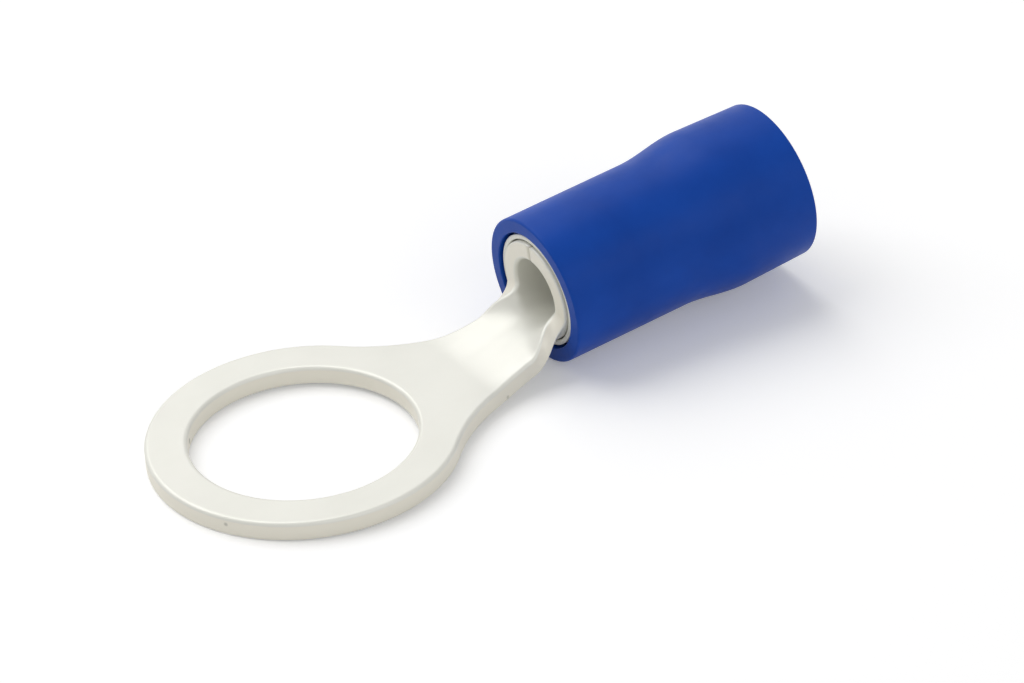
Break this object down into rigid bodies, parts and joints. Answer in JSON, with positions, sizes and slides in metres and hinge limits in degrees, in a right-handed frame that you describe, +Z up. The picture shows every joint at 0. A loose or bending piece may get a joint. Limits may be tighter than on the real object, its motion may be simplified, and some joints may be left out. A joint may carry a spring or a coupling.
{
  "type": "ring terminal",
  "caption": "Insulated crimp ring terminal: flat ring with a stud hole, curled neck and seamed barrel inside a flared blue vinyl sleeve.",
  "frame": {"origin": "centre of the stud hole on the ring's underside", "axes": "+X from the ring to the barrel, +Z up along the stud hole"},
  "size_m": [0.0268, 0.0116, 0.0066],
  "materials": {
    "tinned_copper": null,
    "tinned_sleeve": null,
    "blue_vinyl": "satin moulded vinyl"
  },
  "bodies": {
    "root": {"ring_terminal": "tinned_copper", "support_sleeve": "tinned_sleeve", "insulating_sleeve": "blue_vinyl"}
  },
  "joints": []
}
